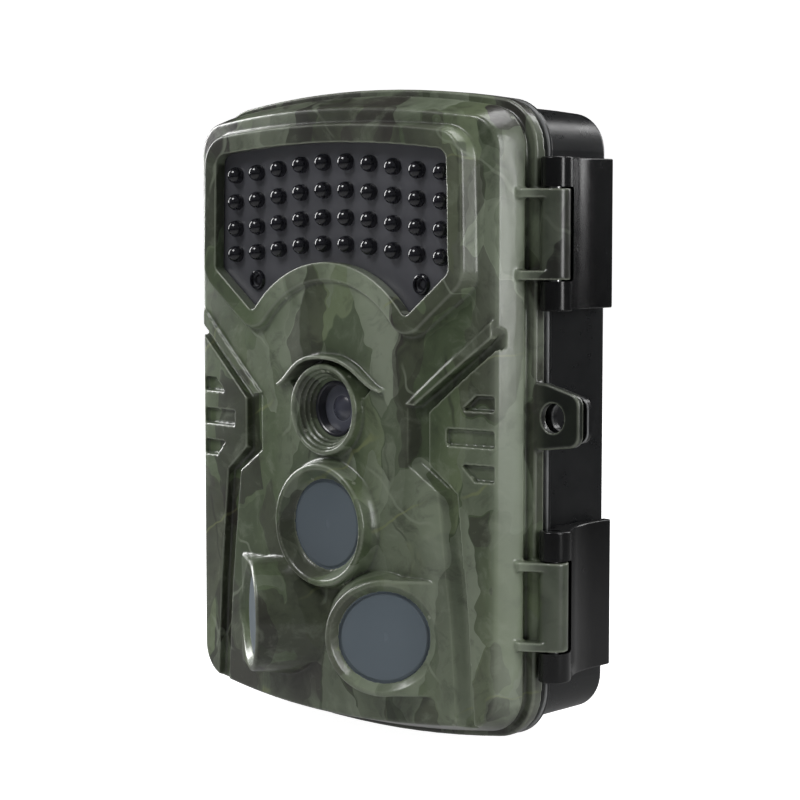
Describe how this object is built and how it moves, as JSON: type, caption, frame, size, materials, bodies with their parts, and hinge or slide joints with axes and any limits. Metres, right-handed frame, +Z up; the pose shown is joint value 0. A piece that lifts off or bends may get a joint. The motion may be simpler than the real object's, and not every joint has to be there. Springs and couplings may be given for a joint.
{
  "type": "trail camera",
  "caption": "Weatherproof trail camera: hinged front cover with infrared lamps, lens and motion sensors over a rear battery housing, with side latches, strap loops and tripod socket.",
  "frame": {"origin": "mouth of the tripod socket, in the middle of the flat pad under the rear shell", "axes": "+X to the right of a person facing the lens, +Y from the lens towards the tree, +Z up"},
  "size_m": [0.1144, 0.0591, 0.1415],
  "materials": {
    "camo_shell": "hydro-dipped green and brown pattern under a satin clear coat",
    "black_shell": "satin black ABS",
    "black_latch": "satin black nylon",
    "seal_rubber": "matt silicone",
    "cap_rubber": "matt TPE",
    "ir_window": "infrared-passing dark plastic",
    "led_epoxy": "dark clear epoxy",
    "sensor_epoxy": "clear epoxy",
    "pcb": "green solder mask",
    "window_glass": "clear cover",
    "lens_glass": "coated glass",
    "filter_glass": "coated filter",
    "black_part": "matt black",
    "sensor_die": "silicon under glass",
    "pir_lens": "dark moulded lens",
    "metal_can": "nickel plated can",
    "screen": "screen behind clear sheet",
    "panel_plastic": "textured dark plastic",
    "key_rubber": "matt silicone",
    "switch_knob": "light grey",
    "screw_steel": "zinc plated",
    "pin_steel": "stainless",
    "port_steel": "nickel plated",
    "card_plastic": "black",
    "cell_wrap": "plain printed sleeve",
    "spring_steel": "nickel plated wire",
    "contact_steel": "nickel plated strip",
    "insert_brass": "plain"
  },
  "bodies": {
    "rear": {"rear_shell": "black_shell", "housing_seal": "seal_rubber", "hinge_pins": "pin_steel", "battery_tray": "black_part", "aa_cells": "cell_wrap", "battery_springs": "spring_steel", "battery_contacts": "contact_steel", "tray_screws": "screw_steel", "tripod_insert": "insert_brass", "power_jack": "black_part", "power_cap_pin": "pin_steel"},
    "front": {"front_shell": "camo_shell", "ir_window": "ir_window", "ir_led_board": "pcb", "ir_leds": "led_epoxy", "light_sensor": "sensor_epoxy", "status_led": "sensor_epoxy", "lens_window": "window_glass", "lens_holder": "black_part", "lens_front_element": "lens_glass", "lens_rear_element": "lens_glass", "image_sensor": "sensor_die", "sensor_board": "pcb", "pir_lens_centre": "pir_lens", "pir_lens_left": "pir_lens", "pir_lens_right": "pir_lens", "pir_sensor_centre": "metal_can", "pir_sensor_left": "metal_can", "pir_sensor_right": "metal_can", "pir_board_centre": "pcb", "pir_board_left": "pcb", "pir_board_right": "pcb", "main_board": "pcb", "board_screws": "screw_steel", "lcd_screen": "screen", "inner_panel": "panel_plastic", "panel_screws": "screw_steel", "key_switches": "black_part", "mode_switch_body": "black_part", "card_socket": "port_steel", "usb_port": "port_steel", "av_jack": "black_part", "speaker": "black_part", "microphone": "black_part", "power_pins": "contact_steel", "latch_pins": "pin_steel"},
    "latch_upper": {"latch_upper": "black_latch"},
    "latch_lower": {"latch_lower": "black_latch"},
    "ir_cut_filter": {"ir_cut_filter": "filter_glass"},
    "mode_switch": {"mode_switch": "switch_knob"},
    "memory_card": {"memory_card": "card_plastic"},
    "power_cap": {"power_cap": "cap_rubber"},
    "key_ok": {"key_ok": "key_rubber"},
    "key_up": {"key_up": "key_rubber"},
    "key_down": {"key_down": "key_rubber"},
    "key_left": {"key_left": "key_rubber"},
    "key_right": {"key_right": "key_rubber"},
    "key_menu": {"key_menu": "key_rubber"},
    "key_shot": {"key_shot": "key_rubber"}
  },
  "joints": [
    {"name": "cover_hinge", "type": "hinge", "parent": "rear", "child": "front", "pos_m": [-0.0519, -0.01135, 0.0725], "axis": [0, 0, -1], "range_deg": [0, 150]},
    {"name": "latch_upper_hinge", "type": "hinge", "parent": "front", "child": "latch_upper", "pos_m": [0.0519, -0.0128, 0.11015], "axis": [0, 0, -1], "range_deg": [0, 110]},
    {"name": "latch_lower_hinge", "type": "hinge", "parent": "front", "child": "latch_lower", "pos_m": [0.0519, -0.0128, 0.03255], "axis": [0, 0, -1], "range_deg": [0, 110]},
    {"name": "mode_switch_slide", "type": "slide", "parent": "front", "child": "mode_switch", "axis": [1, 0, 0], "range_m": [-0.0025, 0.0025]},
    {"name": "card_slide", "type": "slide", "parent": "front", "child": "memory_card", "axis": [0, 0, -1], "range_m": [0, 0.0105]},
    {"name": "filter_slide", "type": "slide", "parent": "front", "child": "ir_cut_filter", "axis": [-1, 0, 0], "range_m": [0, 0.0064]},
    {"name": "power_cap_hinge", "type": "hinge", "parent": "rear", "child": "power_cap", "pos_m": [-0.034, 0.0072, 0.00305], "axis": [1, 0, 0], "range_deg": [0, 95]},
    {"name": "key_ok_press", "type": "slide", "parent": "front", "child": "key_ok", "axis": [0, -1, 0], "range_m": [0, 0.0008], "stiffness_N_per_m": 600},
    {"name": "key_up_press", "type": "slide", "parent": "front", "child": "key_up", "axis": [0, -1, 0], "range_m": [0, 0.0008], "stiffness_N_per_m": 600},
    {"name": "key_down_press", "type": "slide", "parent": "front", "child": "key_down", "axis": [0, -1, 0], "range_m": [0, 0.0008], "stiffness_N_per_m": 600},
    {"name": "key_left_press", "type": "slide", "parent": "front", "child": "key_left", "axis": [0, -1, 0], "range_m": [0, 0.0008], "stiffness_N_per_m": 600},
    {"name": "key_right_press", "type": "slide", "parent": "front", "child": "key_right", "axis": [0, -1, 0], "range_m": [0, 0.0008], "stiffness_N_per_m": 600},
    {"name": "key_menu_press", "type": "slide", "parent": "front", "child": "key_menu", "axis": [0, -1, 0], "range_m": [0, 0.0008], "stiffness_N_per_m": 600},
    {"name": "key_shot_press", "type": "slide", "parent": "front", "child": "key_shot", "axis": [0, -1, 0], "range_m": [0, 0.0008], "stiffness_N_per_m": 600}
  ]
}
